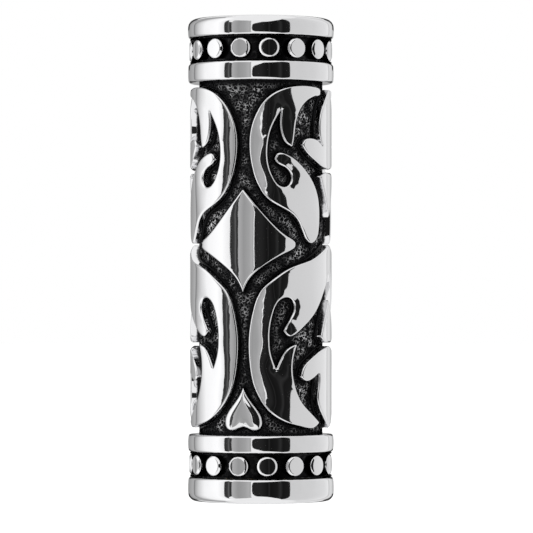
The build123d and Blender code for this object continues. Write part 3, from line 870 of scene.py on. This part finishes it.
def diamond_fall(places, shift):
    """How far the diamond's face falls away from its fullest line."""
    drawn = [(degrees * PER_DEGREE, fall * MM) for degrees, fall in DIAMOND_FALL]
    curve = smooth_run(drawn, 0.5 * MM)
    return np.interp(places[:, 0] - shift, curve[:, 0], curve[:, 1])


def dart_valley(places, shift, sizes):
    """How far the dart's face falls: a valley at its foot between two lobes."""
    across = (places[:, 0] - shift) / (0.8 * MM)
    up = np.clip((4.2 * MM - places[:, 1]) / (3.0 * MM), 0, 1)
    return sizes.valley_drop * np.exp(-across ** 2) * up


class VAULT_OT_bands(bpy.types.Operator):
    """Turn the four smooth bands: base cap, two collars and top cap"""

    bl_idname = "vault.bands"
    bl_label = "Bands and Caps"

    def execute(self, context):
        sizes = context.scene.vault_sizes
        steel = polished_steel("polished_steel", context.scene.vault_finish)
        for name, (low, high) in (("lower_collar", LOWER_COLLAR), ("upper_collar", UPPER_COLLAR)):
            bm = bmesh.new()
            keyed_band(bm, low.z, high.z, sizes)
            place(name + "_band", bm, "barrel", steel, (name,))
        bottom, top = BASE_CAP[0].z, BASE_CAP[1].z
        points, rounds = crowned(bottom, top, sizes.cap_round, sizes.band_round, sizes)
        inner, floor = sizes.keyway_radius, bottom + sizes.cup_floor
        cup = [(0, bottom)] + points + [(inner, top), (inner, floor), (0, floor)]
        bm = bmesh.new()
        turned(bm, cup, [0] + rounds + [sizes.lip_round, 0, 0], sizes.facets)
        countersink_base(bm, sizes)
        place("base_cap_band", bm, "barrel", steel, ("base_cap",))
        bottom, top = TOP_CAP[0].z, TOP_CAP[1].z
        points, rounds = crowned(bottom, top, sizes.band_round, sizes.cap_round, sizes)
        inner, ceiling = sizes.rim_recess, bottom + sizes.recess_depth
        lid = points + [(0, top), (0, ceiling), (inner, ceiling), (inner, bottom)]
        bm = bmesh.new()
        turned(bm, lid, rounds + [0, 0, 0, sizes.lip_round], sizes.facets)
        place("top_cap_band", bm, "vault", steel, ("top_cap",))
        return {"FINISHED"}


def countersink_base(bm, sizes):
    """Refills the flat bottom of the base cap around three countersunk screw holes."""
    flat = [face for face in bm.faces if max(vert.co.z for vert in face.verts) < 1e-6]
    bmesh.ops.delete(bm, geom=flat, context="FACES")
    rims = [edge for edge in bm.edges if edge.is_boundary]
    for degrees in SCREW_ANGLES:
        turn = radians(degrees)
        centre = Vector((sizes.screw_circle * cos(turn), sizes.screw_circle * sin(turn), 0))
        hole = bmesh.ops.create_circle(
            bm, cap_ends=False, segments=HOLE_FACETS, radius=sizes.screw_head,
            matrix=Matrix.Translation(centre),
        )["verts"]
        rim = list({edge for vert in hole for edge in vert.link_edges})
        rims += rim
        shank = sizes.screw_shank
        for level in (sizes.screw_head - shank, sizes.cup_floor / 2):
            grown = bmesh.ops.extrude_edge_only(bm, edges=rim)["geom"]
            rim = only("BMEdge", grown)
            for vert in only("BMVert", grown):
                out = (vert.co - centre).xy.normalized() * shank
                vert.co = (centre.x + out.x, centre.y + out.y, level)
        bmesh.ops.contextual_create(bm, geom=rim)
    bmesh.ops.triangle_fill(bm, use_beauty=True, use_dissolve=False, edges=rims)
    bmesh.ops.recalc_face_normals(bm, faces=bm.faces)


class VAULT_OT_studs(bpy.types.Operator):
    """Model one domed stud and set a row of them on each dial"""

    bl_idname = "vault.studs"
    bl_label = "Dial Studs"

    def execute(self, context):
        sizes = context.scene.vault_sizes
        steel = relief_steel("stud_steel", context.scene.vault_finish, 13.9 * MM, 14.2 * MM)
        for prefix, ring, phase in STUD_ROWS:
            middle = (ring[0].z + ring[1].z) / 2
            bm = bmesh.new()
            for index in range(STUD_COUNT):
                one = stud(sizes)
                turn = Matrix.Rotation(radians(phase + index * 360 / STUD_COUNT), 4, "Z")
                spot = Matrix.Translation((0, 0, middle)) @ turn @ Matrix.Rotation(pi / 2, 4, "Y")
                bmesh.ops.transform(one, matrix=spot, verts=one.verts)
                join(bm, one)
            name = prefix + "_dial_studs"
            place(prefix + "_stud_row", bm, prefix + "_dial", steel, (name,), sharp=40)
        return {"FINISHED"}


def stud(sizes):
    """One stud along +Z, its face and foot curved to the dial about the local X axis."""
    face, foot = sizes.stud_face, sizes.dial_ground
    radius, bevel = sizes.stud_radius, sizes.stud_bevel
    profile = [((radius - bevel) * step / STUD_RINGS, face) for step in range(STUD_RINGS + 1)]
    profile += [(radius, face - BEVEL_FALL * bevel), (radius, foot), (0, foot)]
    bm = bmesh.new()
    verts = [bm.verts.new((x, 0, z)) for x, z in profile]
    for first, second in zip(verts, verts[1:]):
        bm.edges.new((first, second))
    for vert in verts[STUD_RINGS:STUD_RINGS + 2]:
        round_corner(bm, vert, STUD_SOFT, STUD_SOFT_STEPS)
    spin_round(bm, STUD_FACETS)
    for vert in bm.verts:
        curve = foot if vert.co.z < (foot + face) / 2 else face
        vert.co.z -= curve - (curve ** 2 - vert.co.y ** 2) ** 0.5
    return bm


class VAULT_OT_vault(bpy.types.Operator):
    """Turn the brass tube that slides out with the top cap"""

    bl_idname = "vault.tube"
    bl_label = "Vault Tube"

    def execute(self, context):
        sizes = context.scene.vault_sizes
        finish = context.scene.vault_finish
        low, high = VAULT_TUBE[0].z, VAULT_TUBE[1].z
        outer = VAULT_TUBE[1].x
        tube = [
            (0, high), (outer, high), (outer, low), (sizes.tube_bore, low),
            (sizes.tube_bore, high - sizes.tube_end), (0, high - sizes.tube_end),
        ]
        bm = bmesh.new()
        turned(bm, tube, (0, sizes.lip_round, sizes.lip_round, sizes.lip_round, 0, 0), sizes.facets)
        material = turned_metal("turned_brass", finish.brass, 0.2, 0.12 * MM)
        place("vault_sleeve", bm, "vault", material, ("vault_tube",))
        return {"FINISHED"}


class VAULT_OT_fittings(bpy.types.Operator):
    """Give the hidden fittings and the dial rings their finishes"""

    bl_idname = "vault.fittings"
    bl_label = "Fittings"

    def execute(self, context):
        finish = context.scene.vault_finish
        steel = tuple(finish.steel)
        pale, mid, dark = ([share * c for c in steel] for share in (0.8, 0.55, 0.35))
        finishes = (
            (blackened_steel("blackened_steel", finish), ("lower_dial_ring", "upper_dial_ring")),
            (turned_metal("spine_brass", finish.brass, 0.22, 0.16 * MM), ("spine_tube",)),
            (turned_metal("pin_steel", pale, 0.12, 0.1 * MM), ("locating_pins", "lower_lug", "upper_lug")),
            (turned_metal("spring_steel", mid, 0.28, 0.2 * MM), ("stack_clip", "dial_clip")),
            (turned_metal("dark_screw", dark, 0.3, 0.12 * MM), ("base_screws", "vault_screws")),
            (soft_plastic("washer_polymer", finish.polymer, 0.45),
             ("lower_thrust_washer", "upper_thrust_washer")),
            (soft_plastic("drag_rubber", finish.rubber, 0.7), ("lower_drag_ring", "upper_drag_ring")),
        )
        for material, names in finishes:
            for name in names:
                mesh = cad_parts[name].data
                mesh.materials.clear()
                mesh.materials.append(material)
        return {"FINISHED"}


class VAULT_OT_studio(bpy.types.Operator):
    """Set up the floor, light cards, world and camera"""

    bl_idname = "vault.studio"
    bl_label = "Studio"

    def execute(self, context):
        studio = context.scene.vault_studio
        lay_floor(studio)
        for name, stops in CARDS:
            stand_card(name, stops, studio)
        light_world(context.scene)
        set_camera(context.scene, studio)
        context.scene.view_settings.view_transform = "Standard"
        return {"FINISHED"}


# Light cards as (name, [(degrees right of the camera, lowest and highest elevation, level), ...])
CARDS = (
    ("left_softbox", [
        (-156, -60, 60, 0.35), (-134, -60, 60, 0.5), (-131, -60, 60, 0.2), (-128, -60, 60, 0.42),
        (-116, -60, 60, 0.75), (-100, -60, 60, 1.1), (-72, -60, 60, 1.22), (-60, -60, 60, 1.0),
    ]),
    ("left_dark_card", [
        (-60, -42, 42, 0.03), (-54, -24, 24, 0.05), (-52, -21, 21, 0.14), (-50, -18, 18, 0.03),
        (-47, -14, 14, 0.05),
    ]),
    ("grey_card", [
        (-47, -40, 36, 0.5), (-41, -40, 36, 0.42), (-36, -38, 34, 0.36), (-25, -34, 32, 0.42),
        (-19, -30, 30, 0.5), (-15.5, -28, 28, 0.4),
    ]),
    ("black_card", [
        (-14, -3, 3, 0.012), (-13, -7, 7, 0.015), (-10, -10, 10, 0.02), (0, -14, 14, 0.02),
        (11, -20, 20, 0.008), (13, -22, 22, 0.024), (15, -23, 23, 0.008), (26, -34, 34, 0.012),
        (31, -39, 39, 0.03), (35, -43, 43, 0.01), (44, -52, 52, 0.014), (47, -44, 44, 0.02),
    ]),
    ("right_softbox", [
        (47, -60, 60, 0.72), (90, -60, 60, 0.76), (120, -60, 60, 0.86), (134, -60, 60, 0.95),
        (137, -60, 60, 0.55), (140, -60, 60, 0.85), (156, -60, 60, 0.7),
    ]),
    ("back_right_card", [(156, -5, 5, 0.55), (180, -5, 5, 0.4)]),
    ("back_left_card", [(180, -5, 5, 0.4), (204, -5, 5, 0.35)]),
    ("back_top_card", [(156, 5, 26, 0.05), (204, 5, 26, 0.05)]),
    ("back_foot_card", [(156, -26, -5, 0.05), (204, -26, -5, 0.05)]),
)


def stand_card(name, stops, studio):
    """Curved emitting card through stops around the camera's direction."""
    bm = bmesh.new()
    level = bm.verts.layers.float.new("level")
    centre = studio.aim_height
    columns = []
    for before, after in zip(stops, stops[1:]):
        from_deg, from_low, from_high, from_level = before
        to_deg, to_low, to_high, to_level = after
        pieces = max(1, round((to_deg - from_deg) / CARD_STEP))
        for piece in range(pieces + (stops[-1][0] == to_deg)):
            share = piece / pieces
            turn = radians(from_deg + share * (to_deg - from_deg)) + studio.azimuth
            column = []
            for low_deg, high_deg in ((from_low, to_low), (from_high, to_high)):
                rise = tan(radians(low_deg + share * (high_deg - low_deg)))
                vert = bm.verts.new(
                    (sin(turn) * studio.card_radius, -cos(turn) * studio.card_radius,
                     centre + rise * studio.card_radius)
                )
                vert[level] = from_level + share * (to_level - from_level)
                column.append(vert)
            columns.append(column)
    for left, right in zip(columns, columns[1:]):
        bm.faces.new((left[0], right[0], right[1], left[1]))
    nodes = Nodes(name)
    glow = nodes.add("Emission")
    nodes.link(nodes.add("Attribute", attribute_name="level").outputs["Fac"], glow.inputs["Strength"])
    nodes.link(glow.outputs[0], nodes.output.inputs["Surface"])
    card = linked(name, bm, nodes.owner)
    card.visible_camera = False
    card.visible_shadow = False


def lay_floor(studio):
    """White floor that shows the object's shadow and is otherwise plain white."""
    bm = bmesh.new()
    bmesh.ops.create_circle(bm, cap_ends=True, segments=96, radius=studio.floor_radius)
    nodes = Nodes("white_floor")
    paper = nodes.add("BsdfDiffuse")
    paper.inputs["Color"].default_value = (PAPER, PAPER, PAPER, 1)
    glow = nodes.add("Emission")
    nodes.link(nodes.math("MULTIPLY", nodes.seen_rays(), FLOOR_GLOW), glow.inputs["Strength"])
    both = nodes.add("AddShader")
    nodes.link(paper.outputs[0], both.inputs[0])
    nodes.link(glow.outputs[0], both.inputs[1])
    nodes.link(both.outputs[0], nodes.output.inputs["Surface"])
    floor = linked("floor", bm, nodes.owner)
    floor.visible_glossy = False


def light_world(scene):
    """White surroundings for the camera and for reflections, soft grey for everything else."""
    nodes = Nodes("studio_white", "World")
    background = nodes.add("Background")
    background.inputs["Color"].default_value = (1, 1, 1, 1)
    level = nodes.ramp(nodes.seen_rays(), 0.0, 1.0, AMBIENT, 1.0, smooth=False)
    nodes.link(level, background.inputs["Strength"])
    nodes.link(background.outputs[0], nodes.output.inputs["Surface"])
    scene.world = nodes.owner


def set_camera(scene, studio):
    """Camera a little right of the front, at mid-height, with a long lens."""
    data = bpy.data.cameras.new("studio_camera")
    data.sensor_width = SENSOR
    data.lens = SENSOR * studio.distance / studio.field
    data.clip_start = 0.01
    data.clip_end = 20
    camera = bpy.data.objects.new("studio_camera", data)
    scene.collection.objects.link(camera)
    turn = studio.azimuth
    spot = Vector((sin(turn) * studio.distance, -cos(turn) * studio.distance, studio.height))
    aim = Vector((cos(turn), sin(turn), 0)) * studio.aim_right + Vector((0, 0, studio.aim_height))
    camera.location = spot
    camera.rotation_euler = (aim - spot).to_track_quat("-Z", "Y").to_euler()
    scene.camera = camera


OPERATORS = (
    VAULT_OT_relief_ground, VAULT_OT_relief_motifs, VAULT_OT_bands, VAULT_OT_studs,
    VAULT_OT_vault, VAULT_OT_fittings, VAULT_OT_studio,
)
GROUPS = (
    ("vault_sizes", VaultSizes), ("vault_finish", VaultFinish), ("vault_studio", StudioSettings),
)


class VIEW3D_PT_puzzle_vault(bpy.types.Panel):
    """Sidebar panel with the vault's pieces, sizes and finishes"""

    bl_label = "Puzzle Vault"
    bl_idname = "VIEW3D_PT_puzzle_vault"
    bl_space_type = "VIEW_3D"
    bl_region_type = "UI"
    bl_category = "Puzzle Vault"

    def draw(self, context):
        layout = self.layout
        for operator in OPERATORS:
            layout.operator(operator.bl_idname)
        for attribute, group in GROUPS:
            box = layout.box()
            for name in group.__annotations__:
                box.prop(getattr(context.scene, attribute), name)


def register():
    """Registers the property groups, operators and panel."""
    for attribute, group in GROUPS:
        bpy.utils.register_class(group)
        setattr(bpy.types.Scene, attribute, PointerProperty(type=group))
    for cls in OPERATORS + (VIEW3D_PT_puzzle_vault,):
        bpy.utils.register_class(cls)


def unregister():
    """Removes what register added."""
    for cls in reversed(OPERATORS + (VIEW3D_PT_puzzle_vault,)):
        bpy.utils.unregister_class(cls)
    for attribute, group in reversed(GROUPS):
        delattr(bpy.types.Scene, attribute)
        bpy.utils.unregister_class(group)


def main():
    """Builds every piece and the studio."""
    register()
    bpy.ops.vault.relief_ground()
    bpy.ops.vault.relief_motifs()
    bpy.ops.vault.bands()
    bpy.ops.vault.studs()
    bpy.ops.vault.tube()
    bpy.ops.vault.fittings()
    bpy.ops.vault.studio()


if __name__ == "__main__":
    main()
